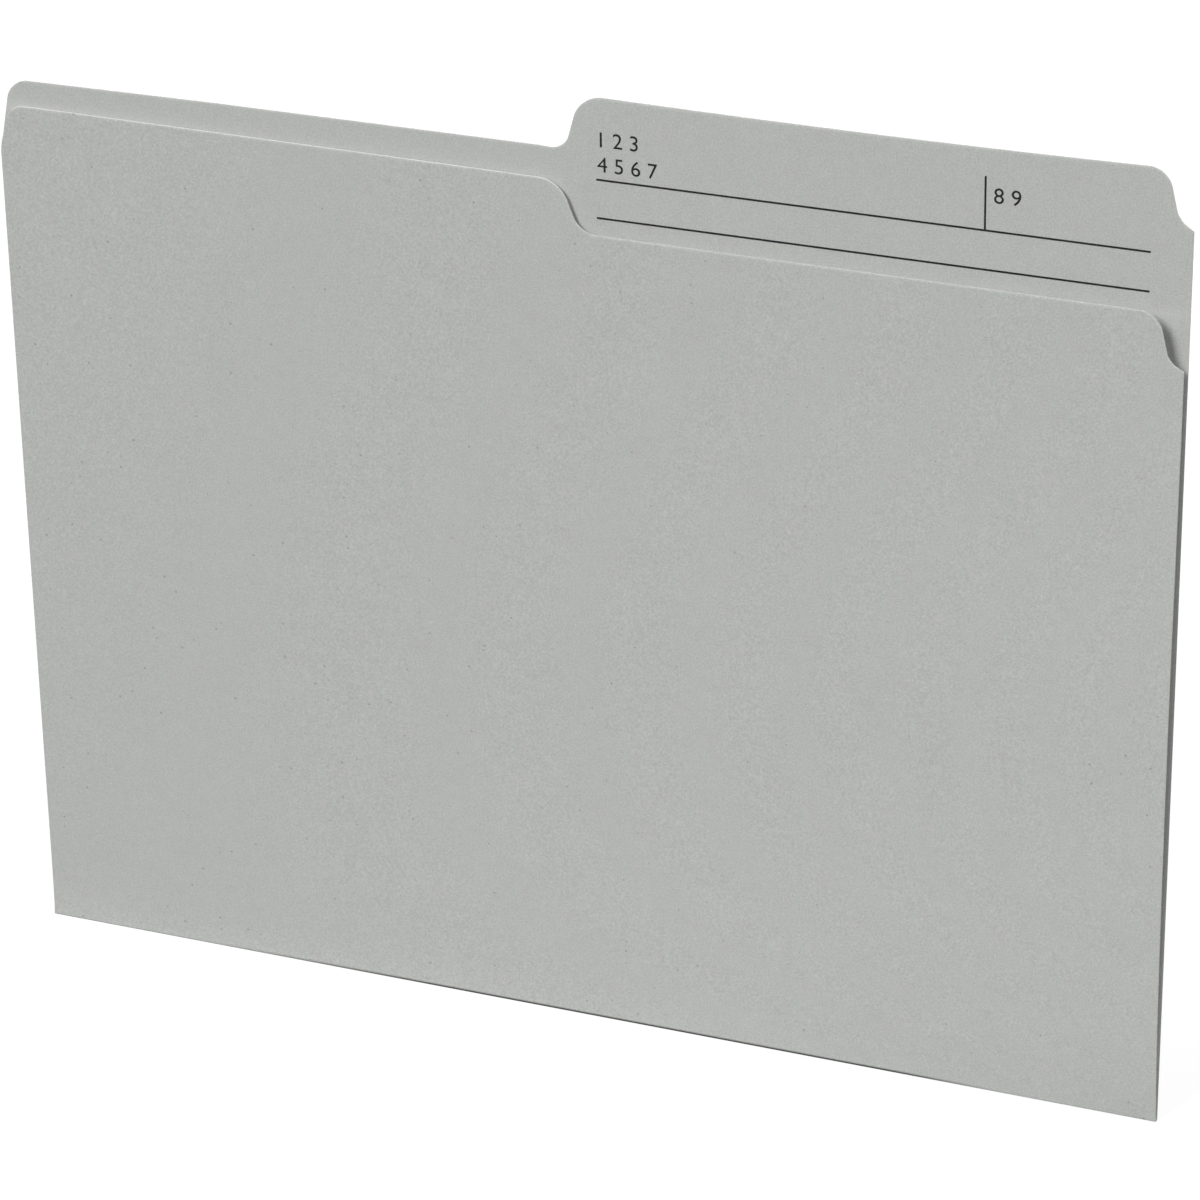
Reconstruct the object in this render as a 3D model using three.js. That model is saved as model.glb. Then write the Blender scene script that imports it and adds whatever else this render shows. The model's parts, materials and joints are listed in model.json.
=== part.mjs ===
// Reversible file folder, letter size, standing on its fold. Millimetres, +Z up.
// The origin is the middle of the fold's underside. +X runs along the fold, towards the tab's side,
// and -Y is the side that the folder is opened from.
import * as THREE from "three";

// The board, and the fold that joins the two panels
const boardThickness = 0.28;
const foldWidth = 1.2; // between the two creases
const creaseClearance = 0.3; // from each crease to the edge of the board beside it
const restLean = 1.0; // degrees that the front panel springs open from upright

// Widths: both panels widen slightly from the fold to the top
const widthAtFold = 295.3;
const widthAtTop = 298.5;

// Heights, from the fold's underside to the top of the tab and down from there
const overallHeight = 241.3;
const tabRise = 13.3; // above the back panel's shoulder
const tabLedgeDrop = 14.0; // from the tab's top to the ledge at its right end
const frontLeftDrop = 6.9; // from the shoulder to the front panel's left-hand top edge
const undercut = 32.8; // from the tab's top to the front panel's right-hand top edge
const frontLedgeDrop = 13.45; // from there to the ledge at its right end

// The slope in the middle of the top edges, between the low side and the high side
const tabSlopeMiddle = 0.5; // across from the middle of the folder
const tabSlopeRun = 3.9; // from the foot corner to the crest corner
const tabFootRadius = 4.3;
const tabCrestRadius = 7.5;
const frontSlopeMiddle = 0.0;
const frontSlopeRun = 5.1;
const frontFootRadius = 6.0;
const frontCrestRadius = 7.5;

// The slope at the right end of both panels, from the ledge up to the top edge
const ledgeRun = 3.6; // the ledge's length, in from the side edge
const tabLedgeRise = 2.35;
const frontLedgeRise = 1.95;
const endSlopeRun = 2.75; // from the ledge's inner end to the crest corner
const endFootRadius = 6.5;
const endCrestRadius = 5.6;

// The back panel's shoulder: it falls a little to its left end, and dips before the tab's slope
const shoulderFall = 0.55;
const shoulderFallRun = 55.0; // in from the left corner
const shoulderDip = 0.28;
const shoulderDipRun = 7.0; // from the slope's foot corner

// How much lower the front panel's two top edges are at its slope than at their outer ends
const frontDroop = 0.55;

// The rounded top left corner of both panels, and the slant below it
const backCornerRadius = 6.0;
const frontCornerRadius = 4.8;
const cornerInset = 3.3; // how far the corner stands in from the side line
const slantDrop = 10.7; // from the front panel's left-hand top edge to where the side leaves its line
const slantRadius = 12.0;

// The printing on the tab
const inkThickness = 0.04;
const ruleWeight = 0.47;
const ruleMarginLeft = 3.9; // from the tab's left crest
const ruleMarginRight = 9.9; // from the side line at the top
const upperRuleDrop = 20.0; // from the tab's top
const ruleSpacing = 9.45;
const dividerMargin = 38.75; // from the rules' right end
const dividerDrop = 7.0; // from the tab's top to the divider's upper end

const arcSteps = 10;
const tangentLimit = 0.49; // the share of a straight side that one rounding may take

// Derived places
const halfBoard = boardThickness / 2;
const creaseHeight = halfBoard;
const panelFoot = creaseHeight + creaseClearance;
const backPlane = foldWidth / 2; // the middle of the back panel's thickness
const frontPlane = -foldWidth / 2;
const shoulderHeight = overallHeight - tabRise;
const tabLedgeHeight = overallHeight - tabLedgeDrop;
const frontLeftHeight = shoulderHeight - frontLeftDrop;
const frontRightHeight = overallHeight - undercut;
const frontLedgeHeight = frontRightHeight - frontLedgeDrop;
const slantStart = frontLeftHeight - slantDrop;
const tabCrest = tabSlopeMiddle + tabSlopeRun / 2;
const tabFoot = tabSlopeMiddle - tabSlopeRun / 2;
const frontFoot = frontSlopeMiddle + frontSlopeRun / 2;
const frontCrest = frontSlopeMiddle - frontSlopeRun / 2;
const upperRuleHeight = overallHeight - upperRuleDrop;
const lowerRuleHeight = upperRuleHeight - ruleSpacing;
const ruleStart = tabCrest + ruleMarginLeft;
const ruleEnd = widthAtTop / 2 - ruleMarginRight;
const dividerInside = ruleEnd - dividerMargin;
const dividerOutside = ruleStart + dividerMargin; // mirrored, so that it reads the same from behind

// Half the panel's width at a height
function sideAt(height) {
  const share = height / overallHeight;
  return (widthAtFold + (widthAtTop - widthAtFold) * share) / 2;
}

function corner(x, z, radius = 0) {
  return { point: new THREE.Vector2(x, z), radius };
}

// A closed outline through the corners, each one rounded by an arc of its own radius
function roundedOutline(corners) {
  const shape = new THREE.Shape();
  corners.forEach(({ point, radius }, i) => {
    const before = corners.at(i - 1).point;
    const after = corners[(i + 1) % corners.length].point;
    const arriving = point.clone().sub(before).normalize();
    const leaving = after.clone().sub(point).normalize();
    const turn = Math.atan2(arriving.cross(leaving), arriving.dot(leaving));
    const longest = tangentLimit * Math.min(point.distanceTo(before), point.distanceTo(after));
    const tangent = Math.min(radius * Math.tan(Math.abs(turn) / 2), longest);
    const start = point.clone().addScaledVector(arriving, -tangent);
    if (i === 0) shape.moveTo(start.x, start.y);
    else shape.lineTo(start.x, start.y);
    if (radius === 0) return;
    const side = Math.sign(turn);
    const arcRadius = tangent / Math.tan(Math.abs(turn) / 2);
    const normal = new THREE.Vector2(-arriving.y, arriving.x).multiplyScalar(side * arcRadius);
    const centre = start.clone().add(normal);
    const from = Math.atan2(start.y - centre.y, start.x - centre.x);
    shape.absarc(centre.x, centre.y, arcRadius, from, from + turn, side < 0);
  });
  shape.closePath();
  return shape;
}

// The foot of a panel, from its left corner to its right one
function footCorners() {
  return [corner(-sideAt(panelFoot), panelFoot), corner(sideAt(panelFoot), panelFoot)];
}

// The ledge, the end slope and the crest at the right end of a top edge
function rightEndCorners(ledgeHeight, ledgeRise, topHeight) {
  const side = sideAt(ledgeHeight);
  return [
    corner(side, ledgeHeight),
    corner(side - ledgeRun, ledgeHeight + ledgeRise, endFootRadius),
    corner(side - ledgeRun - endSlopeRun, topHeight, endCrestRadius),
  ];
}

// The rounded top left corner and the slant that leads down from it to the side edge
function leftEndCorners(topHeight, radius) {
  return [
    corner(-sideAt(topHeight) + cornerInset, topHeight, radius),
    corner(-sideAt(slantStart), slantStart, slantRadius),
  ];
}

// A plate of board standing on its outline's foot, in the middle of the plane y = 0
function boardPlate(outline) {
  const geometry = new THREE.ExtrudeGeometry(outline, {
    depth: boardThickness,
    bevelEnabled: false,
    curveSegments: arcSteps,
  });
  geometry.rotateX(Math.PI / 2);
  geometry.translate(0, halfBoard, 0);
  return geometry;
}

const board = new THREE.MeshStandardMaterial({ color: 0xb0b2af, roughness: 0.9, metalness: 0 });
const ink = new THREE.MeshStandardMaterial({ color: 0x2d2d2e, roughness: 0.75, metalness: 0 });

function named(name, geometry, material) {
  const mesh = new THREE.Mesh(geometry, material);
  mesh.name = name;
  return mesh;
}

// Back panel, with the tab on its right half
function backPanel() {
  const outline = roundedOutline([
    ...footCorners(),
    ...rightEndCorners(tabLedgeHeight, tabLedgeRise, overallHeight),
    corner(tabCrest, overallHeight, tabCrestRadius),
    corner(tabFoot, shoulderHeight - shoulderDip, tabFootRadius),
    corner(tabFoot - shoulderDipRun, shoulderHeight),
    corner(-sideAt(shoulderHeight) + cornerInset + shoulderFallRun, shoulderHeight),
    ...leftEndCorners(shoulderHeight - shoulderFall, backCornerRadius),
  ]);
  const mesh = named("back_panel", boardPlate(outline), board);
  mesh.position.y = backPlane;
  return mesh;
}

// Front panel, low on the right so that the tab shows above it. It leans about its own crease.
function frontPanel() {
  const outline = roundedOutline([
    ...footCorners(),
    ...rightEndCorners(frontLedgeHeight, frontLedgeRise, frontRightHeight),
    corner(frontFoot, frontRightHeight - frontDroop, frontFootRadius),
    corner(frontCrest, frontLeftHeight - frontDroop, frontCrestRadius),
    ...leftEndCorners(frontLeftHeight, frontCornerRadius),
  ]);
  const mesh = named("front_panel", boardPlate(outline), board);
  mesh.position.z = -creaseHeight;
  const crease = new THREE.Group();
  crease.position.set(0, frontPlane, creaseHeight);
  crease.rotation.x = THREE.MathUtils.degToRad(restLean);
  crease.add(mesh);
  return crease;
}

// The narrow band between the two creases, lying flat under the panels
function foldStrip() {
  const width = foldWidth - 2 * creaseClearance;
  const geometry = new THREE.BoxGeometry(widthAtFold, width, boardThickness);
  geometry.translate(0, 0, creaseHeight);
  return named("fold_strip", geometry, board);
}

// A bar of ink on one face of the tab: towards is -1 for the inner face and 1 for the outer one
function inkBar(name, left, right, low, high, towards) {
  const geometry = new THREE.BoxGeometry(right - left, inkThickness, high - low);
  const plane = backPlane + towards * (halfBoard + inkThickness / 2);
  geometry.translate((left + right) / 2, plane, (low + high) / 2);
  return named(name, geometry, ink);
}

function rule(name, height, towards) {
  const half = ruleWeight / 2;
  return inkBar(name, ruleStart, ruleEnd, height - half, height + half, towards);
}

// The divider stands on the upper rule
function divider(name, towards) {
  const half = ruleWeight / 2;
  const across = towards < 0 ? dividerInside : dividerOutside;
  const foot = upperRuleHeight + half;
  const head = overallHeight - dividerDrop;
  return inkBar(name, across - half, across + half, foot, head, towards);
}

const folder = new THREE.Group();
folder.add(backPanel(), frontPanel(), foldStrip());
for (const [face, towards] of [["inside", -1], ["outside", 1]]) {
  folder.add(rule(`tab_rule_upper_${face}`, upperRuleHeight, towards));
  folder.add(rule(`tab_rule_lower_${face}`, lowerRuleHeight, towards));
  folder.add(divider(`tab_divider_${face}`, towards));
}

export default folder;
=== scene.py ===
"""The looks of a reversible file folder of letter size, built around its packed frame.

Metres, +Z up. The fold runs along X with its underside on z = 0, the back panel stands
upright behind it with the tab on its +X half, and the front panel stands before it, at -Y."""

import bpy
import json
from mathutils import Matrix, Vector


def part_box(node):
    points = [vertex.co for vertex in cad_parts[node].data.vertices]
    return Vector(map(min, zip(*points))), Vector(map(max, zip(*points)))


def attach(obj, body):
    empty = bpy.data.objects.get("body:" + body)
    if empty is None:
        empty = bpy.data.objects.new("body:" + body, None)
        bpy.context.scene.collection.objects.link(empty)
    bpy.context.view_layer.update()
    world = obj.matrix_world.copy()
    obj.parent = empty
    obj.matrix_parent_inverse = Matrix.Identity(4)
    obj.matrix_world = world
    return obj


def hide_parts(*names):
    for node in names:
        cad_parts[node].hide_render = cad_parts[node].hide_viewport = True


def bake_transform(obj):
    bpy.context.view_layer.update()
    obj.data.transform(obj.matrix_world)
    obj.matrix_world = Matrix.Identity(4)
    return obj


bl_info = {
    "name": "Reversible File Folder",
    "version": (1, 0, 0),
    "blender": (4, 5, 0),
    "location": "3D View > Sidebar > File Folder",
    "description": "Builds a file folder's board, creases, printing and studio",
    "category": "Add Mesh",
}

import json
import math

import bpy
from bpy.props import FloatProperty, FloatVectorProperty, IntProperty, PointerProperty
from mathutils import Euler, Matrix, Vector

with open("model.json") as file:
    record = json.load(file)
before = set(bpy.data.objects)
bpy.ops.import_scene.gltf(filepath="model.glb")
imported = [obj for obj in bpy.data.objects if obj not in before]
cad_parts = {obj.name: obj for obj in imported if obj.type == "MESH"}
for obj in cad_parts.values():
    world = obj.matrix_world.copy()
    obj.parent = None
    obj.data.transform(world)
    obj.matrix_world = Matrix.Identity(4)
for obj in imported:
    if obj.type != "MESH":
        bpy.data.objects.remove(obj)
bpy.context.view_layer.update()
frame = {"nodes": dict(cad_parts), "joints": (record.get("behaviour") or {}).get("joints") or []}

MM = 0.001
BACK_LOW, BACK_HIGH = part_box("back_panel")
FRONT_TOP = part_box("front_panel")[1].z
STRIP_LOW, STRIP_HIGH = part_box("fold_strip")
BACK_MIDDLE = (BACK_LOW.y + BACK_HIGH.y) / 2
FRONT_CREASE = next(Vector(joint["pos_m"]) for joint in frame["joints"]
                    if joint["name"] == "front_crease")
RULE_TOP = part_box("tab_rule_upper_inside")[1].z
INK_NODES = [name for name in frame["nodes"] if name.startswith(("tab_rule", "tab_divider"))]
TOLERANCE = 0.02 * MM
MERGE_DISTANCE = 0.001 * MM
TANGENT_LIMIT = 0.49  # the share of a straight side that one rounding may take
FIRST_BEND = 0.5 * MM  # from the fold to the first cut that lets a panel bend
BEND_GROWTH = 1.25  # how much further apart each next cut is
RIM_SEGMENTS = 2  # faces across the rounding of a cut edge
BEND_STEPS = 8  # faces round a crease
FLAT = 0.99  # the least cosine to Y of a side's normal, on a flat panel
CURLED = math.cos(math.radians(40))  # the same, on a curled one
SQUARE = 0.9  # the least cosine to X or Z of an end's or a foot's normal
SMOOTH_ANGLE = math.radians(30)
NUMERAL_SHARE = 0.69  # a numeral's height as a share of the text's size
CAMERA_TARGET = Vector((5.7545, 0.0713, 114.2424)) * MM


def length(name, description, millimetres):
    """A size that a user can change, shown as a length."""
    return FloatProperty(name=name, description=description, default=millimetres * MM,
                         subtype="DISTANCE", unit="LENGTH", precision=5)


def angle(name, description, degrees):
    """A turn that a user can change, shown in degrees."""
    return FloatProperty(name=name, description=description, default=math.radians(degrees),
                         subtype="ANGLE", unit="ROTATION")


def amount(name, description, default):
    """A plain number that a user can change."""
    return FloatProperty(name=name, description=description, default=default, min=0.0)


def colour(name, description, default):
    """A colour that a user can change, in linear light."""
    return FloatVectorProperty(name=name, description=description, default=default,
                               subtype="COLOR", size=3, min=0.0, max=1.0)


class FolderOutline(bpy.types.PropertyGroup):
    """Sizes of the two panels' outlines"""

    width_at_fold: length("Width at fold", "Width of both panels at the fold",
                          (STRIP_HIGH.x - STRIP_LOW.x) / MM)
    width_at_top: length("Width at top", "Width of the sheet, level with the tab's top", 298.5)
    tab_rise: length("Tab rise", "Height of the tab above the shoulder", 13.3)
    tab_ledge_drop: length("Tab ledge drop", "From the tab's top to the ledge at its end", 14.0)
    front_left_drop: length("Front left drop", "From the shoulder to the front's left top", 6.9)
    undercut: length("Undercut", "From the tab's top to the front's right top edge", 32.8)
    front_ledge_drop: length("Front ledge drop", "From its right top edge to its ledge", 13.45)
    tab_slope_middle: length("Tab slope", "Middle of the tab's left slope", 0.5)
    tab_slope_run: length("Tab slope run", "Width of the tab's left slope", 3.9)
    tab_foot_radius: length("Tab foot radius", "Rounding below the tab's left slope", 4.3)
    tab_crest_radius: length("Tab crest radius", "Rounding above the tab's left slope", 7.5)
    front_slope_middle: length("Front slope", "Middle of the front's slope", 0.0)
    front_slope_run: length("Front slope run", "Width of the front's slope", 5.1)
    front_foot_radius: length("Front foot radius", "Rounding below the front's slope", 6.0)
    front_crest_radius: length("Front crest radius", "Rounding above the front's slope", 7.5)
    ledge_run: length("Ledge run", "Length of the ledge at the right side edge", 3.6)
    tab_ledge_rise: length("Tab ledge rise", "How far the tab's ledge climbs to its slope", 2.35)
    front_ledge_rise: length("Front ledge rise", "How far its ledge climbs to its slope", 1.95)
    end_slope_run: length("End slope run", "Width of the slope at the right end", 2.75)
    end_foot_radius: length("End foot radius", "Rounding below the end slope", 6.5)
    end_crest_radius: length("End crest radius", "Rounding above the end slope", 5.6)
    shoulder_fall: length("Shoulder fall", "How much lower the shoulder's left end is", 0.55)
    shoulder_fall_run: length("Shoulder fall run", "Length over which it falls", 55.0)
    shoulder_dip: length("Shoulder dip", "How far the shoulder dips before the tab's slope", 0.28)
    shoulder_dip_run: length("Shoulder dip run", "Length over which it dips", 7.0)
    front_droop: length("Front droop", "How much lower its top edges are at its slope", 0.55)
    back_corner_radius: length("Back corner radius", "Rounding of the back's top left corner", 6.0)
    front_corner_radius: length("Front corner radius", "Rounding of its top left corner", 4.8)
    corner_inset: length("Corner inset", "How far that corner stands in from the side", 3.3)
    slant_drop: length("Slant drop", "From the front's left top to the slant's lower end", 10.7)
    slant_radius: length("Slant radius", "Rounding at the slant's lower end", 12.0)


class FolderForm(bpy.types.PropertyGroup):
    """How the board stands, bends and is cut"""

    edge_rounding: length("Edge rounding", "How far the die's burr rounds the cut edges", 0.1)
    # The paler margin beside each cut is partly real scuffing and partly a painted highlight that
    # widens the lit cut edge. Its left and right strengths set how bright that highlight is.
    wear_highlight_width: length("Wear width", "Width of the scuffed margin beside a cut", 0.65)
    wear_highlight_left: amount("Wear left", "How scuffed the left half's cut edges are", 1.0)
    wear_highlight_right: amount("Wear right", "How scuffed the right half's cut edges are", 0.1)
    left_gap: length("Left gap", "Stand-off of the front panel up its left edge", 0.85)
    left_settle: length("Left settle", "Height in which the left edge mostly comes that close", 4.0)
    left_pinch: length("Left pinch", "How much closer the left edge comes at its top", 0.2)
    bulge: length("Bulge", "How far the front swells out of the fold at its right edge", 3.5)
    bulge_height: length("Bulge height", "Height in which the swelling mostly happens", 32.0)
    return_start: length("Return start", "Height above which the right edge leans back", 100.0)
    return_depth: length("Return depth", "How far the right edge leans back at its top", 1.25)
    tab_sag: length("Tab sag", "How far the tab's top edge dips in its middle", 0.42)
    tab_left_lift: length("Tab left lift", "How far the tab's left end is pulled up", 0.2)
    tab_right_lift: length("Tab right lift", "How far the tab's right end is pulled up", 0.45)
    grid_step: length("Grid step", "Width of the faces that let the board bend", 8.0)
    corner_segments: IntProperty(name="Corner segments", default=14, min=2,
                                 description="Faces in each rounding of an outline")


class FolderFinish(bpy.types.PropertyGroup):
    """Colours of the board, its scuffing and painted highlight, its painted glow and shade, and the
    ink
    """

    board: colour("Board", "Recycled grey board", (0.434, 0.445, 0.429))
    fleck_dark: colour("Dark flecks", "Specks of old print in the board", (0.16, 0.16, 0.155))
    fleck_light: colour("Light flecks", "Bleached fibres in the board", (0.66, 0.67, 0.66))
    fleck_red: colour("Red flecks", "Specks of coloured paper", (0.47, 0.36, 0.34))
    cut_edge: colour("Cut edge", "The board's core, bare at the cut", (0.4, 0.4, 0.388))
    # Painted light: a paler, warm band on the back panel's inner face along the front panel's top
    # edge. It stands for light bounced between the two panels.
    painted_glow: colour("Rubbed", "Board that the other panel's edge has rubbed", (0.66, 0.655, 0.635))
    glow_left: amount("Rub left", "How rubbed the back is at its left edge", 0.34)
    glow_right: amount("Rub right", "How rubbed it is further right", 0.17)
    glow_change: amount("Rub change", "Where that starts, in half widths left of the middle", 0.6)
    glow_reach: length("Rub reach", "Distance in which the rubbing fades out", 1.7)
    glow_drop_left: length("Rub drop left", "How far below the front's top edge, on the left", 0.4)
    glow_drop_right: length("Rub drop right", "The same, on the right", 1.4)
    # Partly real scuffing, partly a painted highlight beside the lit cut edges.
    scuff_highlight: colour("Scuffed", "Fibres that stand up beside a cut", (0.62, 0.625, 0.61))
    # Painted shade: a dark line along the underside of the front fold, where shadow falls. It is
    # strongest in the middle and fades towards the ends.
    painted_fold_shade: colour("Crushed", "Board crushed and soiled along the fold", (0.03, 0.03, 0.029))
    fold_shade_left_end: length("Crush left end", "Where the crushing starts", -115)
    fold_shade_left_full: length("Crush left full", "Where it reaches its strength", -30)
    fold_shade_right_full: length("Crush right full", "Where it starts to fade", 80)
    fold_shade_right_end: length("Crush right end", "Where the crushing ends", 112)
    ink: colour("Ink", "Printing ink", (0.008, 0.008, 0.009))


class FolderPrint(bpy.types.PropertyGroup):
    """Plain numerals beside the printed rules"""

    numeral_height: length("Numeral height", "Height of the printed numerals", 3.65)
    ink_depth: length("Ink depth", "Thickness of the numerals' ink", 0.02)
    upper_rise: length("Upper rise", "From the upper rule to the foot of the first line", 7.8)
    upper_indent: length("Upper indent", "From the rules' start to the first line", 1.0)
    lower_rise: length("Lower rise", "From the upper rule to the foot of the second line", 1.7)
    lower_indent: length("Lower indent", "From the rules' start to the second line", 0.3)
    right_rise: length("Right rise", "From the upper rule to the numerals beside the divider", 6.5)
    right_indent: length("Right indent", "From the divider to the numerals beside it", 1.8)


class FolderStage(bpy.types.PropertyGroup):
    """The studio"""

    camera_azimuth: angle("Camera azimuth", "Where the camera stands round the folder", 22.585)
    camera_elevation: angle("Camera elevation", "How far the camera looks down", 25.109)
    camera_roll: angle("Camera roll", "How far the camera is tipped sideways", -0.907)
    camera_distance: length("Camera distance", "From the camera to its target", 1279.6)
    camera_lens: amount("Lens", "Focal length in millimetres on a 36 mm sensor", 160.52)
    key: amount("Key light", "Strength of the light from the front left", 2.88)
    side: amount("Side light", "Strength of the light from the right", 2.22)
    rear: amount("Rear light", "Strength of the light from behind", 1.60)
    sky: amount("Sky", "Strength of the even light from above", 0.10)
    floor_tone: amount("Floor tone", "How much light the far floor throws back", 0.06)
    # The pool is a painted pool of light in the floor's tone, which throws more light onto the
    # folder's foot.
    pool_tone: amount("Pool tone", "How much light the floor throws back before the folder", 0.2)
    pool_core: length("Pool core", "Half the depth of the pool's even middle", 30)
    pool_reach: length("Pool reach", "Distance in which the pool fades into the far floor", 160)
    pool_across: length("Pool across", "Where its middle lies along the fold", 100)
    pool_before: length("Pool before", "How far it lies before the fold", 50)
    pool_stretch: amount("Pool stretch", "Its depth as a share of its width", 0.6)
    floor_white: amount("Floor white", "How bright the lit floor looks", 1.06)
    floor_light: amount("Floor light", "How bright the lamps alone would make a white floor", 1.5)


# Building by hand


def add(operator, **options):
    """Adds an object with nothing else selected."""
    if bpy.context.object and bpy.context.object.mode != "OBJECT":
        bpy.ops.object.mode_set(mode="OBJECT")
    bpy.ops.object.select_all(action="DESELECT")
    operator(**options)
    return bpy.context.object


def begin(primitive, **options):
    """Adds a primitive and applies its place."""
    piece = add(primitive, **options)
    bpy.ops.object.transform_apply(location=True, rotation=True, scale=True)
    return piece


def pick(piece, kind, wanted):
    """In edit mode, selects just the vertices, edges or faces for which wanted() holds."""
    bpy.ops.object.mode_set(mode="EDIT")
    bpy.ops.mesh.select_mode(type=kind)
    bpy.ops.mesh.select_all(action="DESELECT")
    bpy.ops.object.mode_set(mode="OBJECT")
    mesh = piece.data
    items = {"VERT": mesh.vertices, "EDGE": mesh.edges, "FACE": mesh.polygons}[kind]
    for item in items:
        item.select = bool(wanted(item))
    bpy.ops.object.mode_set(mode="EDIT")


def name_piece(piece, name):
    piece.name = name
    piece.data.name = name


def edge_ends(piece, edge):
    return [piece.data.vertices[i].co for i in edge.vertices]


def side_at(outline, height):
    """Half the sheet's width at a height above the fold's underside."""
    share = height / BACK_HIGH.z
    return (outline.width_at_fold * (1 - share) + outline.width_at_top * share) / 2


def right_end(outline, ledge, rise, top):
    """Ledge, end slope and crest at the right end of a top edge, as (x, z, rounding)."""
    side = side_at(outline, ledge)
    inner = side - outline.ledge_run
    return [
        (side, ledge, 0.0),
        (inner, ledge + rise, outline.end_foot_radius),
        (inner - outline.end_slope_run, top, outline.end_crest_radius),
    ]


def left_end(outline, top, radius, slant_start):
    """The rounded top left corner and the slant below it, as (x, z, rounding)."""
    return [
        (outline.corner_inset - side_at(outline, top), top, radius),
        (-side_at(outline, slant_start), slant_start, outline.slant_radius),
    ]


def shoulder_line(outline, shoulder):
    """Where the shoulder starts to dip towards the tab, and to fall towards its left end."""
    foot = outline.tab_slope_middle - outline.tab_slope_run / 2
    left = outline.corner_inset - side_at(outline, shoulder)
    return [
        (foot - outline.shoulder_dip_run, shoulder, 0.0),
        (left + outline.shoulder_fall_run, shoulder, 0.0),
    ]


def slope(middle, run, right, left):
    """The slope in the middle of a top edge. Its ends are given as (z, rounding)."""
    return [(middle + run / 2, *right), (middle - run / 2, *left)]


def heights(outline):
    """The heights that both outlines share, above the fold's underside."""
    shoulder = BACK_HIGH.z - outline.tab_rise
    front_left = shoulder - outline.front_left_drop
    return shoulder, front_left, front_left - outline.slant_drop


def back_corners(outline):
    """The back panel's outline above its foot, from the right side edge to the left one."""
    shoulder, _, slant_start = heights(outline)
    top = BACK_HIGH.z
    return [
        *right_end(outline, top - outline.tab_ledge_drop, outline.tab_ledge_rise, top),
        *slope(outline.tab_slope_middle, outline.tab_slope_run,
               (top, outline.tab_crest_radius),
               (shoulder - outline.shoulder_dip, outline.tab_foot_radius)),
        *shoulder_line(outline, shoulder),
        *left_end(outline, shoulder - outline.shoulder_fall, outline.back_corner_radius,
                  slant_start),
    ]


def front_corners(outline):
    """The front panel's outline above its foot, from the right side edge to the left one."""
    _, front_left, slant_start = heights(outline)
    right = BACK_HIGH.z - outline.undercut
    return [
        *right_end(outline, right - outline.front_ledge_drop, outline.front_ledge_rise, right),
        *slope(outline.front_slope_middle, outline.front_slope_run,
               (right - outline.front_droop, outline.front_foot_radius),
               (front_left - outline.front_droop, outline.front_crest_radius)),
        *left_end(outline, front_left, outline.front_corner_radius, slant_start),
    ]


def lay_out(piece, corners):
    """Cuts a plane's top edge into as many points as there are corners and sets each in place."""
    top = max(v.co.z for v in piece.data.vertices)
    pick(piece, "EDGE", lambda e: all(p.z > top - TOLERANCE for p in edge_ends(piece, e)))
    bpy.ops.mesh.subdivide(number_cuts=len(corners) - 2)
    bpy.ops.object.mode_set(mode="OBJECT")
    along = [v for v in piece.data.vertices if v.co.z > top - TOLERANCE]
    along.sort(key=lambda v: -v.co.x)
    moves = [(v.index, Vector((x, v.co.y, z)) - v.co) for v, (x, z, _) in zip(along, corners)]
    for index, move in moves:
        pick(piece, "VERT", lambda v: v.index == index)
        bpy.ops.transform.translate(value=move)


def round_corners(piece, corners, foot, segments):
    """Rounds each corner of a flat outline by its own radius."""
    points = [foot[0], *corners, foot[1]]
    for before, here, after in zip(points, points[1:], points[2:]):
        if here[2] == 0:
            continue
        place = Vector(here[:2])
        arriving = place - Vector(before[:2])
        leaving = Vector(after[:2]) - place
        reach = here[2] * math.tan(arriving.angle(leaving) / 2)
        reach = min(reach, TANGENT_LIMIT * arriving.length, TANGENT_LIMIT * leaving.length)
        pick(piece, "VERT", lambda v: (v.co.xz - place).length < TOLERANCE)
        bpy.ops.mesh.bevel(offset_type="OFFSET", offset=reach, segments=segments,
                           affect="VERTICES", clamp_overlap=True)


def bending_lines(low, high, step):
    """Heights of the cuts that let a panel bend: close together at the fold, then even."""
    gap = FIRST_BEND
    height = low + gap
    while height < high:
        yield height
        gap = min(BEND_GROWTH * gap, step)
        height += gap


def cut_grid(piece, step):
    """Cuts a flat plate both ways, so that it can be bent."""
    low = min(v.co.z for v in piece.data.vertices)
    high = max(v.co.z for v in piece.data.vertices)
    side = max(v.co.x for v in piece.data.vertices)
    count = int(side / step)
    cuts = [((i * step, 0, 0), (1, 0, 0)) for i in range(-count, count + 1)]
    cuts += [((0, 0, height), (0, 0, 1)) for height in bending_lines(low, high, step)]
    for place, normal in cuts:
        bpy.ops.mesh.select_all(action="SELECT")
        bpy.ops.mesh.bisect(plane_co=place, plane_no=normal, threshold=TOLERANCE)


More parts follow.
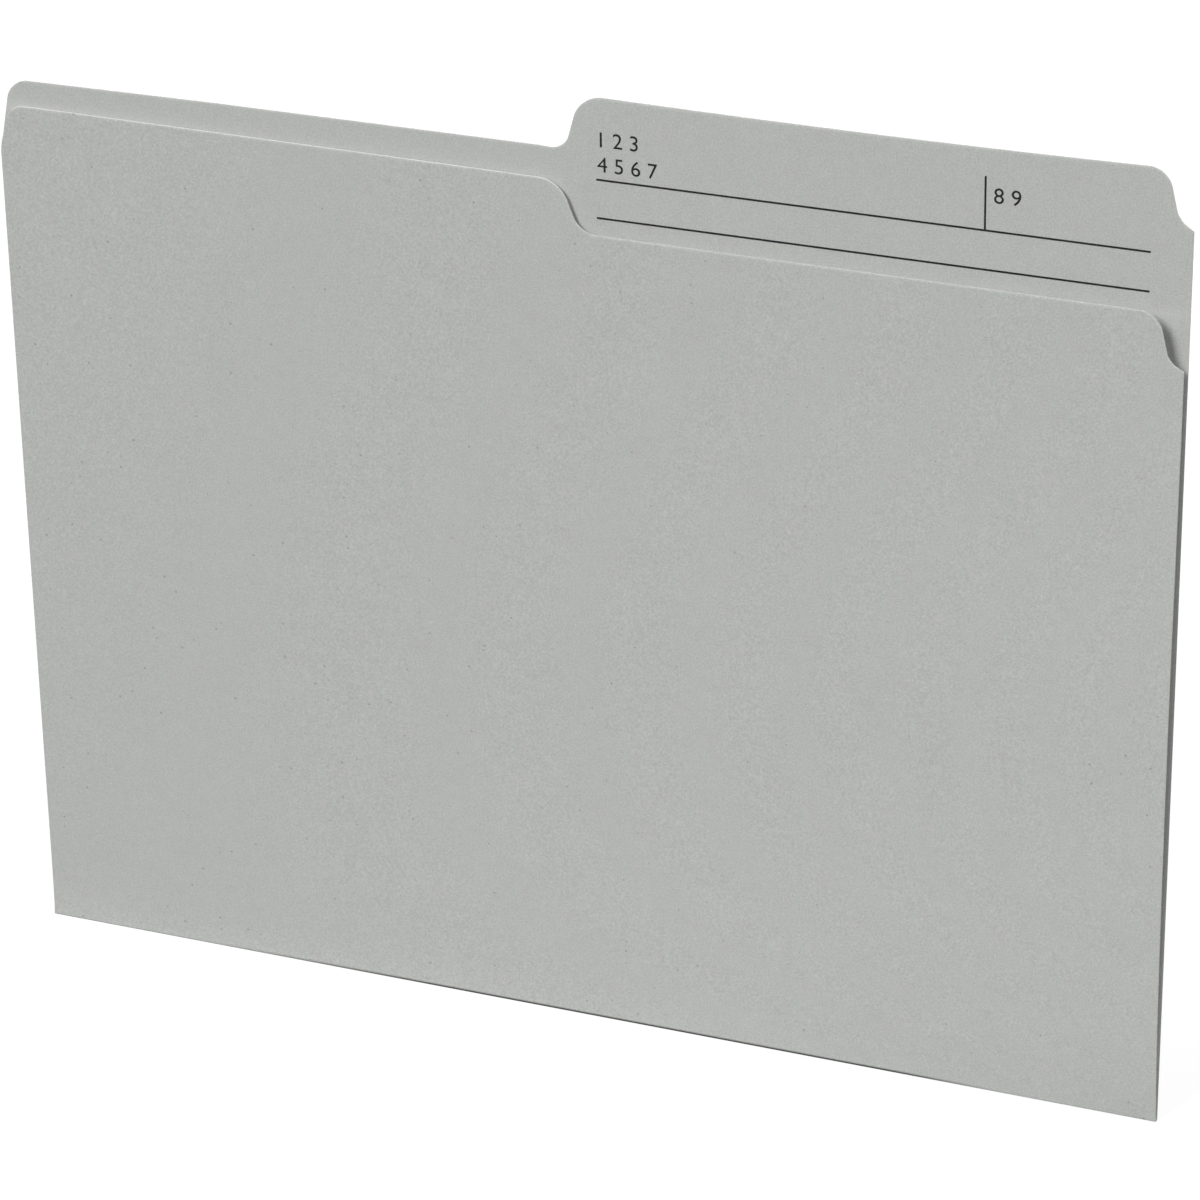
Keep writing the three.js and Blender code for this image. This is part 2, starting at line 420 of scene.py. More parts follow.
def flat_panel(name, corners, plane, form, outline):
    """A plate of board with the corners' outline, its middle in the plane y = plane."""
    foot_height = BACK_LOW.z
    half = side_at(outline, foot_height)
    thickness = BACK_HIGH.y - BACK_LOW.y
    piece = begin(bpy.ops.mesh.primitive_plane_add, size=2 * half,
                  location=(0, plane - thickness / 2, foot_height + half),
                  rotation=(math.pi / 2, 0, 0))
    name_piece(piece, name)
    lay_out(piece, corners)
    foot = [(half, foot_height), (-half, foot_height)]
    round_corners(piece, corners, foot, form.corner_segments)
    bpy.ops.mesh.select_all(action="SELECT")
    bpy.ops.mesh.extrude_region_move(TRANSFORM_OT_translate={"value": (0, thickness, 0)})
    bpy.ops.mesh.select_all(action="SELECT")
    bpy.ops.mesh.normals_make_consistent(inside=False)
    round_cut_edges(piece, foot_height, form.edge_rounding)
    mark_margin(piece, form.wear_highlight_width)
    cut_grid(piece, form.grid_step)
    bpy.ops.object.mode_set(mode="OBJECT")
    return piece


def round_cut_edges(piece, foot_height, rounding):
    """Rounds the rim of both faces, except along the foot, where the crease carries on."""
    def on_rim(edge):
        a, b = edge_ends(piece, edge)
        at_foot = max(a.z, b.z) < foot_height + TOLERANCE
        return abs(a.y - b.y) < TOLERANCE and not at_foot

    pick(piece, "EDGE", on_rim)
    bpy.ops.mesh.bevel(offset_type="OFFSET", offset=rounding, segments=RIM_SEGMENTS,
                       affect="EDGES", clamp_overlap=True)


def mark_margin(piece, width):
    """Sets a narrow margin off round both faces, for the scuffing and painted highlight to fade
    across.
    """
    pick(piece, "FACE", lambda f: abs(f.normal.y) > FLAT)
    bpy.ops.mesh.inset(thickness=width, use_individual=True)


def on_cut(face):
    """Whether a face belongs to a cut edge, and neither to a side of the board nor the foot."""
    return abs(face.normal.y) < CURLED and face.normal.z > -SQUARE


def at_end(face):
    """Whether a face closes one end of a crease."""
    return abs(face.normal.x) > SQUARE


def mark_wear_and_highlight(piece, form):
    """Marks the cut edges for scuffing and a painted highlight. The mark fades out across the
    margins beside them.
    """
    wear_highlight = piece.data.attributes.new("edge_wear_and_highlight", "FLOAT", "POINT")
    for face in filter(on_cut, piece.data.polygons):
        for corner in face.vertices:
            on_left = piece.data.vertices[corner].co.x < 0
            wear_highlight.data[corner].value = form.wear_highlight_left if on_left else form.wear_highlight_right


def mark_fold_shade(piece, painted_fold_shade):
    """Marks where shade is painted along the fold's underside. The mark fades out towards the
    nearest cuts.
    """
    mark = piece.data.attributes.new("painted_fold_shade", "FLOAT", "POINT")
    for vertex in piece.data.vertices:
        mark.data[vertex.index].value = float(painted_fold_shade(vertex.co))


def dress(piece, board, bare):
    """Board all over, but the core where bare() holds for a face, and smooth shading."""
    piece.data.materials.clear()
    piece.data.materials.append(finish_named(board))
    piece.data.materials.append(finish_named("folder_cut_edge"))
    for face in piece.data.polygons:
        face.material_index = 1 if bare(face) else 0
    bpy.ops.object.shade_smooth_by_angle(angle=SMOOTH_ANGLE)


# The shape of the sheet


def ease(value, low, high):
    """A smooth step from 0 at low to 1 at high."""
    t = min(max((value - low) / (high - low), 0.0), 1.0)
    return t * t * (3 - 2 * t)


def stand_off(form, x, z):
    """How far the front panel's middle stands before the back panel's, at a place on it.

    The left edge nearly touches the back. The right edge swells out of the fold, runs level
    with the back and leans in again at its top, and the sheet curls from one to the other."""
    fold = 2 * abs(FRONT_CREASE.y)
    low = BACK_LOW.z
    left = form.left_gap + (fold - form.left_gap) * math.exp((low - z) / form.left_settle)
    left -= form.left_pinch * (z - low) / FRONT_TOP
    right = fold + form.bulge * (1 - math.exp((low - z) / form.bulge_height))
    right -= form.return_depth * ease(z, form.return_start, 2 * form.return_start)
    side = STRIP_HIGH.x
    share = min(max((x + side) / (2 * side), 0.0), 1.0)
    return left + (right - left) * share ** 2


def curl_front(piece, form):
    """Bends the flat front panel to its stand-off. No one operator gives this double curve."""
    for vertex in piece.data.vertices:
        vertex.co.y += BACK_MIDDLE - stand_off(form, vertex.co.x, vertex.co.z)


def sag_tab(piece, form, outline):
    """Lowers the middle of the tab's top edge a little and lifts its ends, and moves nothing at
    or below the rules."""
    left = outline.tab_slope_middle
    right = side_at(outline, BACK_HIGH.z)
    middle = (left + right) / 2
    for vertex in piece.data.vertices:
        across = min(abs(vertex.co.x - middle) / (right - middle), 1.0)
        end = form.tab_left_lift if vertex.co.x < middle else form.tab_right_lift
        rise = (form.tab_sag + end) * across ** 2 - form.tab_sag
        vertex.co.z += rise * ease(vertex.co.z, RULE_TOP, BACK_HIGH.z)


def crease_piece(name, towards):
    """The bent board from the fold strip's edge up to a panel's foot; towards is 1 or -1 in y."""
    strip_edge = towards * STRIP_HIGH.y
    depth = STRIP_HIGH.z - STRIP_LOW.z
    half = STRIP_HIGH.x
    piece = begin(bpy.ops.mesh.primitive_plane_add, size=1, rotation=(math.pi / 2, 0, 0),
                  location=(0, strip_edge, STRIP_LOW.z + depth / 2))
    name_piece(piece, name)
    pick(piece, "VERT", lambda v: True)
    bpy.ops.transform.resize(value=(2 * half, 1, depth),
                             center_override=(0, strip_edge, STRIP_LOW.z + depth / 2))
    bpy.ops.mesh.spin(steps=BEND_STEPS, angle=-math.pi / 2 * towards, use_auto_merge=False,
                      center=(0, strip_edge, BACK_LOW.z), axis=(1, 0, 0))
    bpy.ops.mesh.select_all(action="SELECT")
    bpy.ops.mesh.remove_doubles(threshold=MERGE_DISTANCE)
    bpy.ops.mesh.normals_make_consistent(inside=False)
    bpy.ops.object.mode_set(mode="OBJECT")
    return piece


# Materials


def add_sockets(group, way, kind, **defaults):
    """Gives a group inputs or outputs of one kind, by name and default."""
    for name, default in defaults.items():
        socket = group.interface.new_socket(name=name, in_out=way,
                                            socket_type=f"NodeSocket{kind}")
        if default is not None:
            socket.default_value = default


def add_node(tree, kind, x, y, **settings):
    node = tree.nodes.new(kind)
    node.location = (x, y)
    for key, value in settings.items():
        setattr(node, key, value)
    return node


def feed(tree, socket, value):
    """Gives a node's input a link or a plain value."""
    if isinstance(value, bpy.types.NodeSocket):
        tree.links.new(value, socket)
    else:
        socket.default_value = value


def maths(tree, operation, first, second, x, y, third=0.0, clamp=False):
    """A Math node whose inputs are sockets or numbers."""
    node = add_node(tree, "ShaderNodeMath", x, y, operation=operation, use_clamp=clamp)
    for socket, value in zip(node.inputs, (first, second, third)):
        feed(tree, socket, value)
    return node.outputs[0]


def vector_maths(tree, operation, first, second, x, y):
    """A Vector Math node whose inputs are sockets or vectors, or for SCALE a number second."""
    node = add_node(tree, "ShaderNodeVectorMath", x, y, operation=operation)
    feed(tree, node.inputs[0], first)
    feed(tree, node.inputs["Scale" if operation == "SCALE" else 1], second)
    return node.outputs[0]


def blend_colour(tree, share, first, second, x, y):
    """A colour between two sockets or colours, by a share."""
    node = add_node(tree, "ShaderNodeMix", x, y, data_type="RGBA")
    for number, value in ((0, share), (6, first), (7, second)):
        feed(tree, node.inputs[number], value)
    return node.outputs[2]


def map_range(tree, value, source, target, x, y, way="LINEAR"):
    """A value carried from one range to another, held at its ends."""
    node = add_node(tree, "ShaderNodeMapRange", x, y, interpolation_type=way)
    tree.links.new(value, node.inputs["Value"])
    for name, number in zip(("From Min", "From Max", "To Min", "To Max"), (*source, *target)):
        node.inputs[name].default_value = number
    return node.outputs["Result"]


def noise(tree, vector, size, detail, x, y):
    """Soft noise whose patches are about size metres across, around 0.5."""
    node = add_node(tree, "ShaderNodeTexNoise", x, y)
    node.inputs["Scale"].default_value = 1 / size
    node.inputs["Detail"].default_value = detail
    node.inputs["Roughness"].default_value = 0.6
    tree.links.new(vector, node.inputs["Vector"])
    return node.outputs["Fac"]


def specks_group():
    """Specks scattered through the pulp: one in each cell that is picked, of a random size."""
    group = bpy.data.node_groups.new("folder_specks", "ShaderNodeTree")
    add_sockets(group, "INPUT", "Vector", Vector=None)
    add_sockets(group, "INPUT", "Float", Spacing=100.0, Size=0.05, Share=0.5)
    add_sockets(group, "OUTPUT", "Float", Mask=None)
    inside = add_node(group, "NodeGroupInput", -900, 0)
    outside = add_node(group, "NodeGroupOutput", 600, 0)
    cells = add_node(group, "ShaderNodeTexVoronoi", -700, 0)
    group.links.new(inside.outputs["Vector"], cells.inputs["Vector"])
    group.links.new(inside.outputs["Spacing"], cells.inputs["Scale"])
    chance = add_node(group, "ShaderNodeSeparateColor", -500, -100)
    group.links.new(cells.outputs["Color"], chance.inputs[0])
    picked = maths(group, "LESS_THAN", chance.outputs["Red"], inside.outputs["Share"], -300, -200)
    spread = maths(group, "MULTIPLY_ADD", chance.outputs["Green"], 0.65, -300, 0, third=0.35)
    radius = maths(group, "MULTIPLY", inside.outputs["Size"], spread, -100, 0)
    gap = maths(group, "DIVIDE", cells.outputs["Distance"], radius, 100, 100)
    soft = maths(group, "SUBTRACT", 1.5, gap, 250, 100, clamp=True)
    mask = maths(group, "MULTIPLY", soft, picked, 420, 0)
    group.links.new(mask, outside.inputs["Mask"])
    return group


def board_group(specks, finish):
    """The recycled board: mottled pulp, faintly pink and green in patches, with dark, light and red
    specks and loose fibres, and a lighter margin where the edge mask says so, partly real scuffing
    and partly a painted highlight."""
    group = bpy.data.node_groups.new("folder_board", "ShaderNodeTree")
    add_sockets(group, "INPUT", "Vector", Vector=None)
    add_sockets(group, "INPUT", "Color", Base=(*finish.board, 1))
    add_sockets(group, "INPUT", "Float", Mottle=1.0, Wear=0.0)
    add_sockets(group, "OUTPUT", "Color", Color=None)
    add_sockets(group, "OUTPUT", "Float", Height=None)
    inside = add_node(group, "NodeGroupInput", -1500, 0)
    outside = add_node(group, "NodeGroupOutput", 1100, 0)
    place = inside.outputs["Vector"]
    fine = noise(group, place, 0.42 * MM, 1.0, -1200, 300)
    flock = noise(group, place, 2.0 * MM, 3.0, -1200, 100)
    cloud = noise(group, place, 14 * MM, 2.0, -1200, -100)
    tone = mottle(group, inside.outputs["Mottle"], ((fine, 0.53), (flock, 0.13), (cloud, 0.05)))
    shown = tint(group, place, inside.outputs["Base"], tone)
    shown = scatter(group, specks, place, shown, finish)
    shown = scuff_and_highlight(group, place, shown, inside.outputs["Wear"], finish)
    group.links.new(shown, outside.inputs["Color"])
    height = maths(group, "ADD", fine, flock, -300, -300)
    group.links.new(height, outside.inputs["Height"])
    return group


def mottle(tree, strength, layers):
    """A tone near 1 that each layer of noise moves by its own weight."""
    total = None
    for number, (layer, weight) in enumerate(layers):
        centred = maths(tree, "SUBTRACT", layer, 0.5, -1000, 300 - 150 * number)
        part = maths(tree, "MULTIPLY", centred, weight, -850, 300 - 150 * number)
        total = part if total is None else maths(tree, "ADD", total, part, -700, 200)
    scaled = maths(tree, "MULTIPLY", total, strength, -600, 200)
    return maths(tree, "ADD", scaled, 1.0, -500, 200)


def tint(tree, place, base, tone):
    """The base colour at a tone, pushed a little towards pink or green in soft patches."""
    patch = noise(tree, place, 3.6 * MM, 2.5, -1200, -300)
    lean = maths(tree, "SUBTRACT", patch, 0.5, -1000, -300)
    pink = vector_maths(tree, "SCALE", (0.055, -0.045, 0.0), lean, -800, -300)
    hue = vector_maths(tree, "ADD", pink, tone, -600, -300)
    return vector_maths(tree, "MULTIPLY", base, hue, -400, 0)


def scatter(tree, specks, place, shown, finish):
    """Every kind of speck and fibre over a colour."""
    bent = warped(tree, place)
    plain = (1, 1, 1)
    fibre = (0.12, 1, 1)
    # Colour, coordinates, spacing, size in spacings, share of the cells, stretch and strength
    kinds = (
        (finish.fleck_dark, place, 3.6 * MM, 0.080, 0.50, plain, 0.60),
        (finish.fleck_dark, place, 1.9 * MM, 0.085, 0.50, plain, 0.45),
        (finish.fleck_light, place, 2.4 * MM, 0.075, 0.50, plain, 0.50),
        (finish.fleck_red, place, 7.0 * MM, 0.040, 0.60, plain, 0.55),
        (finish.fleck_dark, bent, 4.0 * MM, 0.030, 0.40, fibre, 0.35),
        (finish.fleck_light, bent, 3.4 * MM, 0.035, 0.40, fibre, 0.35),
    )
    for number, (hue, vector, spacing, size, share, stretch, strength) in enumerate(kinds):
        mask = speck_layer(tree, specks, vector, spacing, size, share, stretch, number)
        mask = maths(tree, "MULTIPLY", mask, strength, 200, -200 * number)
        shown = blend_colour(tree, mask, shown, (*hue, 1), 400, -200 * number)
    return shown


def warped(tree, place):
    """The place pushed about by slow noise, so that fibres lie every way and curl."""
    swirl = noise(tree, place, 9 * MM, 0.0, -1200, -600).node.outputs["Color"]
    centred = vector_maths(tree, "SUBTRACT", swirl, (0.5, 0.5, 0.5), -1000, -600)
    push = vector_maths(tree, "SCALE", centred, 24 * MM, -800, -600)
    return vector_maths(tree, "ADD", place, push, -600, -600)


def speck_layer(tree, specks, place, spacing, size, share, stretch, number):
    """One scatter of specks, turned so that no two layers line up."""
    turn = add_node(tree, "ShaderNodeMapping", -300, -200 * number)
    turn.inputs["Rotation"].default_value = (0.0, 0.7 * number, 0.0)
    turn.inputs["Scale"].default_value = stretch
    turn.inputs["Location"].default_value = (0.013 * number, 0.0, 0.007 * number)
    tree.links.new(place, turn.inputs["Vector"])
    node = add_node(tree, "ShaderNodeGroup", -100, -200 * number, node_tree=specks)
    node.inputs["Spacing"].default_value = 1 / spacing
    node.inputs["Size"].default_value = size
    node.inputs["Share"].default_value = share
    tree.links.new(turn.outputs[0], node.inputs["Vector"])
    return node.outputs["Mask"]


def scuff_and_highlight(tree, place, shown, wear_highlight, finish):
    """The margin beside a cut: paler, partly from real scuffing and partly a painted highlight, and
    broken up by the fibres that stand there.
    """
    patchy = noise(tree, place, 1.1 * MM, 3.0, 400, 500)
    rough = maths(tree, "MULTIPLY_ADD", patchy, 1.9, 600, 500, third=-0.1)
    share = maths(tree, "MULTIPLY", wear_highlight, rough, 750, 400, clamp=True)
    return blend_colour(tree, share, shown, (*finish.scuff_highlight, 1), 900, 200)


def new_material(name, roughness):
    """A material with a Principled shader, its Object coordinates and a place for a bump."""
    material = bpy.data.materials.new(name)
    material.use_nodes = True
    tree = material.node_tree
    shader = tree.nodes["Principled BSDF"]
    shader.inputs["Roughness"].default_value = roughness
    place = add_node(tree, "ShaderNodeTexCoord", -900, 0).outputs["Object"]
    return material, tree, shader, place


def add_bump(tree, shader, height, strength, depth):
    bump = add_node(tree, "ShaderNodeBump", -200, -300)
    bump.inputs["Strength"].default_value = strength
    bump.inputs["Distance"].default_value = depth
    tree.links.new(height, bump.inputs["Height"])
    tree.links.new(bump.outputs[0], shader.inputs["Normal"])


def board_material(name, group, base, mottling=1.0, bump=0.35):
    material, tree, shader, place = new_material(name, roughness=0.88)
    pulp = add_node(tree, "ShaderNodeGroup", -600, 0, node_tree=group)
    pulp.inputs["Base"].default_value = (*base, 1)
    pulp.inputs["Mottle"].default_value = mottling
    # The edge mask: real scuffing and a painted highlight beside the lit cut edges.
    wear_highlight = add_node(tree, "ShaderNodeAttribute", -900, -200, attribute_name="edge_wear_and_highlight")
    tree.links.new(wear_highlight.outputs["Fac"], pulp.inputs["Wear"])
    tree.links.new(place, pulp.inputs["Vector"])
    tree.links.new(pulp.outputs["Color"], shader.inputs["Base Color"])
    add_bump(tree, shader, pulp.outputs["Height"], bump, depth=0.03 * MM)
    return material


def board_place(material):
    """The three Object coordinates of a board material."""
    tree = material.node_tree
    spot = add_node(tree, "ShaderNodeSeparateXYZ", -900, 500)
    tree.links.new(tree.nodes["Texture Coordinate"].outputs["Object"], spot.inputs[0])
    return spot.outputs


def lay_over(material, first, second, hue):
    """Lays a colour over the board, as strongly as two shares multiplied."""
    tree = material.node_tree
    base = tree.nodes["Principled BSDF"].inputs["Base Color"]
    share = maths(tree, "MULTIPLY", first, second, 250, 600)
    board = base.links[0].from_socket
    tree.links.new(blend_colour(tree, share, board, (*hue, 1), 400, 300), base)


def glow_material(group, outline, finish):
    """The back panel's board. On its inner face runs a paler band, soft at both its edges, along
    the front panel's top edge: painted light that stands for light bounced between the two panels."""
    material = board_material("folder_board_glow", group, finish.board)
    tree = material.node_tree
    across, depth, height = board_place(material)
    left = heights(outline)[1] - finish.glow_drop_left
    right = BACK_HIGH.z - outline.undercut - finish.glow_drop_right
    middle = outline.front_slope_middle
    reach = outline.front_slope_run
    line = map_range(tree, across, (middle - reach, middle + reach), (left, right), -700, 700,
                     "SMOOTHSTEP")
    away = maths(tree, "ABSOLUTE", maths(tree, "SUBTRACT", height, line, -500, 600), 0.0,
                 -350, 600)
    fade = maths(tree, "POWER", math.e, maths(tree, "DIVIDE", away, -finish.glow_reach, -200, 600),
                 -50, 600)
    half = side_at(outline, left)
    strength = map_range(tree, across, (-half, -finish.glow_change * half),
                         (finish.glow_left, finish.glow_right), -700, 900)
    inner = maths(tree, "LESS_THAN", depth, BACK_MIDDLE, -500, 400)
    lay_over(material, maths(tree, "MULTIPLY", fade, strength, 100, 700), inner, finish.painted_glow)


def fold_shade_material(group, finish):
    """The front panel's board, with painted shade where the fold's underside is marked, but not
    near its ends.
    """
    material = board_material("folder_board_fold_shade", group, finish.board)
    tree = material.node_tree
    across = board_place(material)["X"]
    left = map_range(tree, across, (finish.fold_shade_left_end, finish.fold_shade_left_full), (0, 1),
                     -700, 900, "SMOOTHSTEP")
    right = map_range(tree, across, (finish.fold_shade_right_full, finish.fold_shade_right_end), (1, 0),
                      -700, 700, "SMOOTHSTEP")
    mark = add_node(tree, "ShaderNodeAttribute", -700, 500, attribute_name="painted_fold_shade")
    lay_over(material, maths(tree, "MULTIPLY", left, right, -400, 800), mark.outputs["Fac"],
             finish.painted_fold_shade)


def ink_material(finish):
    """Ink that lies a little unevenly on the board's tooth."""
    _, tree, shader, place = new_material("folder_ink", roughness=0.7)
    grain = noise(tree, place, 0.3 * MM, 2.0, -700, 0)
    thin = maths(tree, "MULTIPLY", grain, 0.03, -500, 0)
    shown = blend_colour(tree, thin, (*finish.ink, 1), (*finish.board, 1), -300, 100)
    tree.links.new(shown, shader.inputs["Base Color"])
    shader.inputs["Specular IOR Level"].default_value = 0.15
    add_bump(tree, shader, grain, strength=0.2, depth=0.02 * MM)


def finish_named(name):
    """One of the materials, which are all made when the first one is asked for."""
    if "folder_board" not in bpy.data.materials:
        finish = bpy.context.scene.folder_finish
        group = board_group(specks_group(), finish)
        board_material("folder_board", group, finish.board)
        glow_material(group, bpy.context.scene.folder_outline, finish)
        fold_shade_material(group, finish)
        board_material("folder_cut_edge", group, finish.cut_edge, mottling=1.6, bump=0.5)
        ink_material(finish)
    return bpy.data.materials[name]


def cover(piece, name):
    """Gives a CAD node or a new piece one material all over."""
    piece.data.materials.clear()
    piece.data.materials.append(finish_named(name))


# The operators


class FOLDER_OT_back_panel(bpy.types.Operator):
    """Builds the back panel, with the tab on its right half"""

    bl_idname = "folder.back_panel"
    bl_label = "Back Panel"

    def execute(self, context):
        outline = context.scene.folder_outline
        form = context.scene.folder_form
        piece = flat_panel("back_board", back_corners(outline), BACK_MIDDLE, form, outline)
        sag_tab(piece, form, outline)
        mark_wear_and_highlight(piece, form)
        # The back panel's board carries the painted glow along the front panel's top edge.
        dress(piece, "folder_board_glow", on_cut)
        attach(piece, "back")
        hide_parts("back_panel")
        return {"FINISHED"}


class FOLDER_OT_front_panel(bpy.types.Operator):
    """Builds the front panel, cut low on the right and curled away from the back"""

    bl_idname = "folder.front_panel"
    bl_label = "Front Panel"

    def execute(self, context):
        outline = context.scene.folder_outline
        form = context.scene.folder_form
        piece = flat_panel("front_board", front_corners(outline), 0.0, form, outline)
        curl_front(piece, form)
        mark_wear_and_highlight(piece, form)
        foot = BACK_LOW.z + TOLERANCE
        # Paints shade on the foot's outer edge, along the fold's underside.
        mark_fold_shade(piece, lambda p: p.z < foot and p.y < FRONT_CREASE.y)
        dress(piece, "folder_board_fold_shade", on_cut)
        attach(piece, "front")
        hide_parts("front_panel")
        return {"FINISHED"}


class FOLDER_OT_creases(bpy.types.Operator):
    """Builds the bent board on both sides of the fold strip, and finishes the strip"""

    bl_idname = "folder.creases"
    bl_label = "Fold and Creases"

    def execute(self, context):
        for body, towards, board in (("back", 1, "folder_board"),
                                     ("front", -1, "folder_board_fold_shade")):
            piece = crease_piece(f"{body}_crease_board", towards)
            if body == "front":
                # Paints shade on the front crease's outer arc, the fold's underside.
                bend = Vector((towards * STRIP_HIGH.y, BACK_LOW.z))
                mark_fold_shade(piece, lambda p: (p.yz - bend).length > BACK_LOW.z - TOLERANCE)
            dress(piece, board, at_end)
            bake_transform(piece)
        cover(frame["nodes"]["fold_strip"], "folder_board")
        return {"FINISHED"}


class FOLDER_OT_printing(bpy.types.Operator):
    """Inks the rules and dividers, and prints plain numerals where a label would start"""

    bl_idname = "folder.printing"
    bl_label = "Printing"

    def execute(self, context):
        settings = context.scene.folder_print
        for name in INK_NODES:
            cover(frame["nodes"][name], "folder_ink")
        for face, towards in (("inside", -1), ("outside", 1)):
            rule_low, rule_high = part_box(f"tab_rule_upper_{face}")
            divider_low, divider_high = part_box(f"tab_divider_{face}")
            start, divider = (rule_low.x, divider_high.x) if towards < 0 else \
                (rule_high.x, divider_low.x)
            for line, digits, beside, indent, rise in (
                    ("upper", "1 2 3", start, settings.upper_indent, settings.upper_rise),
                    ("lower", "4 5 6 7", start, settings.lower_indent, settings.lower_rise),
                    ("right", "8 9", divider, settings.right_indent, settings.right_rise)):
                place = (beside - towards * indent, rule_high.z + rise)
                print_numerals(f"numerals_{line}_{face}", digits, place, towards, settings)
        return {"FINISHED"}


def print_numerals(name, digits, place, towards, settings):
    """Printed numerals on a face of the tab. Their lower corner at the reader's left is at
    place, as (x, z); towards is -1 for the inner face, read from -Y, and 1 for the outer one."""
    piece = add(bpy.ops.object.text_add)
    piece.data.body = digits
    piece.data.extrude = settings.ink_depth / 2
    piece.data.size = settings.numeral_height / NUMERAL_SHARE
    bpy.ops.object.convert(target="MESH")
    piece = bpy.context.object
    name_piece(piece, name)
    low = Vector([min(v.co[i] for v in piece.data.vertices) for i in range(3)])
    board_face = BACK_LOW.y if towards < 0 else BACK_HIGH.y
    spot = Vector((place[0], board_face + towards * settings.ink_depth / 2, place[1]))
    upright = Euler((math.pi / 2, 0, 0 if towards < 0 else math.pi)).to_matrix().to_4x4()
    piece.data.transform(Matrix.Translation(spot) @ upright
                         @ Matrix.Translation((-low.x, -low.y, 0)))
    cover(piece, "folder_ink")
    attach(piece, "back")


class FOLDER_OT_stage(bpy.types.Operator):
    """Sets up the floor, the light and the camera"""

    bl_idname = "folder.stage"
    bl_label = "Stage"

    def execute(self, context):
        stage = context.scene.folder_stage
        context.scene.view_settings.view_transform = "Standard"
        floor = begin(bpy.ops.mesh.primitive_plane_add, size=12.0)
        name_piece(floor, "floor")
        floor.data.materials.append(floor_material(stage))
        light_world(stage)
        hang_lamp("key_lamp", stage.key, azimuth=-28, elevation=38, softness=26)
        hang_lamp("side_lamp", stage.side, azimuth=60, elevation=50, softness=45)
        hang_lamp("rear_lamp", stage.rear, azimuth=157, elevation=45, softness=45)
        set_camera(stage)
        return {"FINISHED"}


def camera_sees(tree, x, y):
    """1 for rays that show a background: from the camera, in a reflection or through glass."""
    path = add_node(tree, "ShaderNodeLightPath", x, y)
    seen = maths(tree, "MAXIMUM", path.outputs["Is Camera Ray"], path.outputs["Is Glossy Ray"],
                 x + 200, y)
    return maths(tree, "MAXIMUM", seen, path.outputs["Is Transmission Ray"], x + 400, y)


def floor_material(stage):
    """A pale floor that takes a shadow and looks white where it's lit."""
    material = bpy.data.materials.new("stage_floor")
    material.use_nodes = True
    tree = material.node_tree
    tree.nodes.clear()
    output = add_node(tree, "ShaderNodeOutputMaterial", 600, 0)
    plain = add_node(tree, "ShaderNodeBsdfDiffuse", 0, 0)
    tone = floor_pool(tree, stage)
    tree.links.new(tone, plain.inputs["Color"])
    lift = add_node(tree, "ShaderNodeEmission", 0, -200)
    glow = maths(tree, "MULTIPLY_ADD", tone, -stage.floor_light, -400, 0,
                 third=stage.floor_white)
    strength = maths(tree, "MULTIPLY", camera_sees(tree, -800, -200), glow, -200, -200)
    tree.links.new(strength, lift.inputs["Strength"])
    both = add_node(tree, "ShaderNodeAddShader", 300, 0)
    tree.links.new(plain.outputs[0], both.inputs[0])
    tree.links.new(lift.outputs[0], both.inputs[1])
    tree.links.new(both.outputs[0], output.inputs["Surface"])
    return material


def floor_pool(tree, stage):
    """The floor's tone: a painted pool of light, paler before the folder's right half, which throws
    more light onto its foot.
    """
    place = add_node(tree, "ShaderNodeTexCoord", -1400, 300).outputs["Object"]
    middle = (stage.pool_across, -stage.pool_before, 0.0)
    moved = vector_maths(tree, "SUBTRACT", place, middle, -1200, 300)
    squeezed = vector_maths(tree, "MULTIPLY", moved, (stage.pool_stretch, 1.0, 0.0), -1000, 300)
    away = add_node(tree, "ShaderNodeVectorMath", -800, 300, operation="LENGTH")
    tree.links.new(squeezed, away.inputs[0])
    return map_range(tree, away.outputs["Value"], (stage.pool_core, stage.pool_reach),
                     (stage.pool_tone, stage.floor_tone), -600, 300, "SMOOTHSTEP")


def light_world(stage):
    """Even light from all round, with white behind it."""
    world = bpy.data.worlds.new("stage_world")
    bpy.context.scene.world = world
    world.use_nodes = True
    tree = world.node_tree
    background = tree.nodes["Background"]
    background.inputs["Color"].default_value = (1, 1, 1, 1)
    seen = camera_sees(tree, -900, 0)
    extra = maths(tree, "MULTIPLY", seen, 1 - stage.sky, -300, 0)
    strength = maths(tree, "ADD", extra, stage.sky, -150, 0)
    tree.links.new(strength, background.inputs["Strength"])


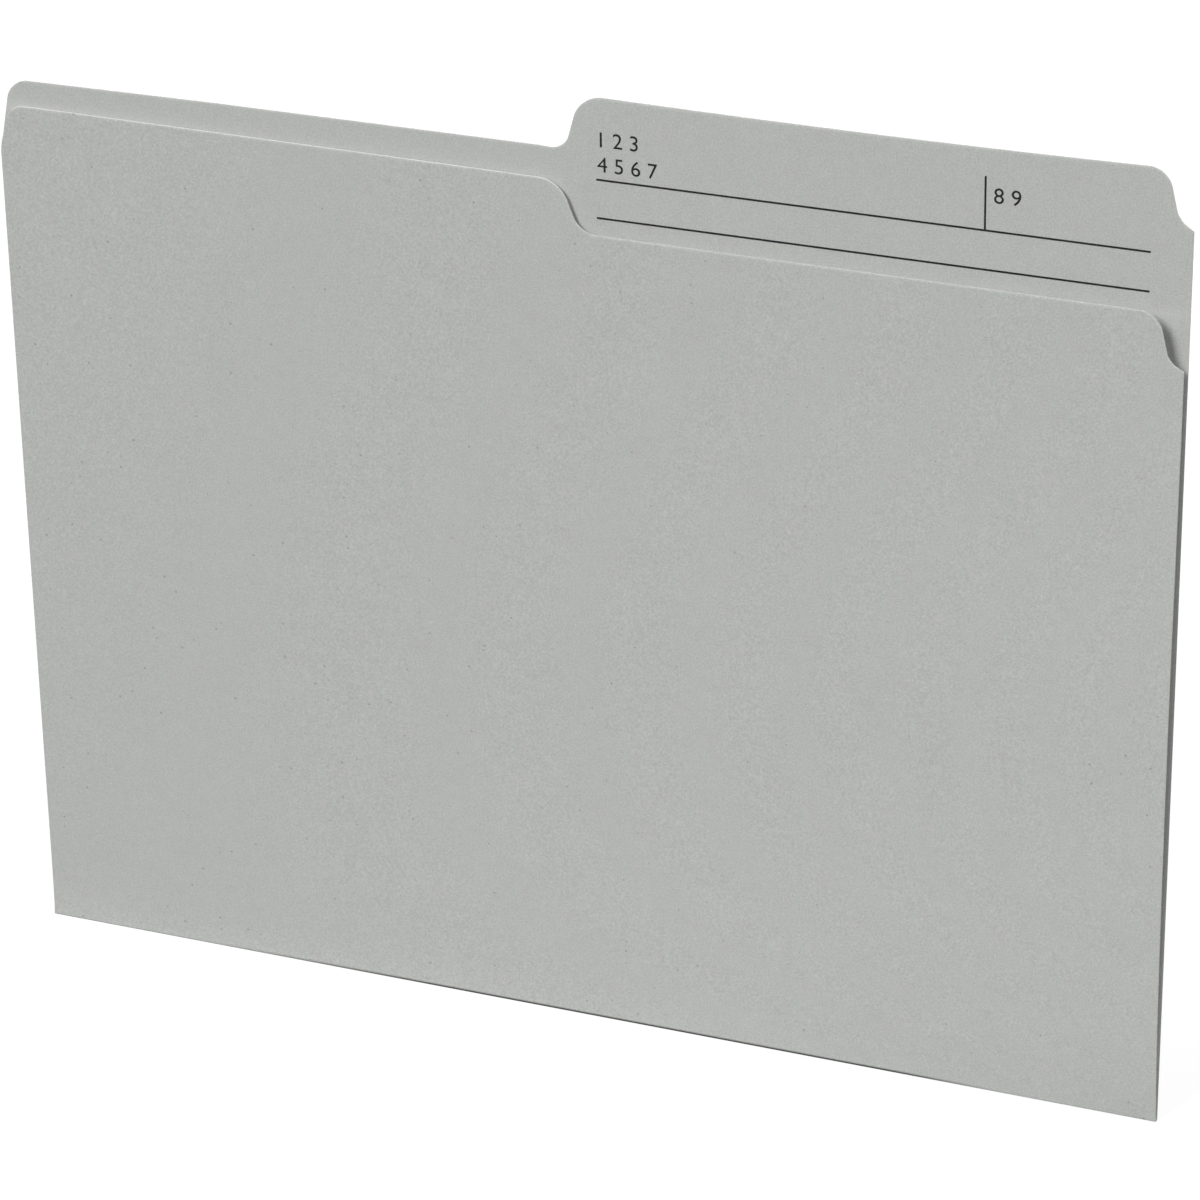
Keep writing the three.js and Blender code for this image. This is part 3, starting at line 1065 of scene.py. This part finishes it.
def hang_lamp(name, strength, azimuth, elevation, softness):
    """A distant softbox. The azimuth runs from straight before the folder towards its right."""
    turn = Euler((math.radians(90 - elevation), 0, math.radians(azimuth)))
    lamp = add(bpy.ops.object.light_add, type="SUN", rotation=turn)
    lamp.name = name
    lamp.data.energy = strength
    lamp.data.angle = math.radians(softness)


def set_camera(stage):
    """The camera where the photograph was taken from."""
    turn = Euler((math.pi / 2 - stage.camera_elevation, 0, stage.camera_azimuth)).to_matrix()
    turn = turn @ Matrix.Rotation(stage.camera_roll, 3, "Z")
    place = CAMERA_TARGET + turn @ Vector((0, 0, stage.camera_distance))
    camera = add(bpy.ops.object.camera_add, location=place, rotation=turn.to_euler())
    camera.name = "photo_camera"
    camera.data.sensor_width = 36
    camera.data.lens = stage.camera_lens
    camera.data.clip_end = 20
    bpy.context.scene.camera = camera


class FOLDER_PT_sidebar(bpy.types.Panel):
    """Lists what the folder is made of"""

    bl_label = "File Folder"
    bl_idname = "FOLDER_PT_sidebar"
    bl_space_type = "VIEW_3D"
    bl_region_type = "UI"
    bl_category = "File Folder"

    def draw(self, context):
        for operator in OPERATORS:
            self.layout.operator(operator.bl_idname)
        for group in SETTINGS:
            box = self.layout.box()
            settings = getattr(context.scene, group)
            box.label(text=settings.__class__.__doc__)
            for key in settings.__annotations__:
                box.prop(settings, key)


OPERATORS = (FOLDER_OT_back_panel, FOLDER_OT_front_panel, FOLDER_OT_creases,
             FOLDER_OT_printing, FOLDER_OT_stage)
SETTINGS = {"folder_outline": FolderOutline, "folder_form": FolderForm,
            "folder_finish": FolderFinish, "folder_print": FolderPrint,
            "folder_stage": FolderStage}


def register():
    for kind in (*SETTINGS.values(), *OPERATORS, FOLDER_PT_sidebar):
        bpy.utils.register_class(kind)
    for name, kind in SETTINGS.items():
        setattr(bpy.types.Scene, name, PointerProperty(type=kind))


def unregister():
    for name in SETTINGS:
        delattr(bpy.types.Scene, name)
    for kind in (FOLDER_PT_sidebar, *reversed(OPERATORS), *reversed(SETTINGS.values())):
        bpy.utils.unregister_class(kind)


def main():
    register()
    bpy.ops.folder.back_panel()
    bpy.ops.folder.front_panel()
    bpy.ops.folder.creases()
    bpy.ops.folder.printing()
    bpy.ops.folder.stage()


if __name__ == "__main__":
    main()
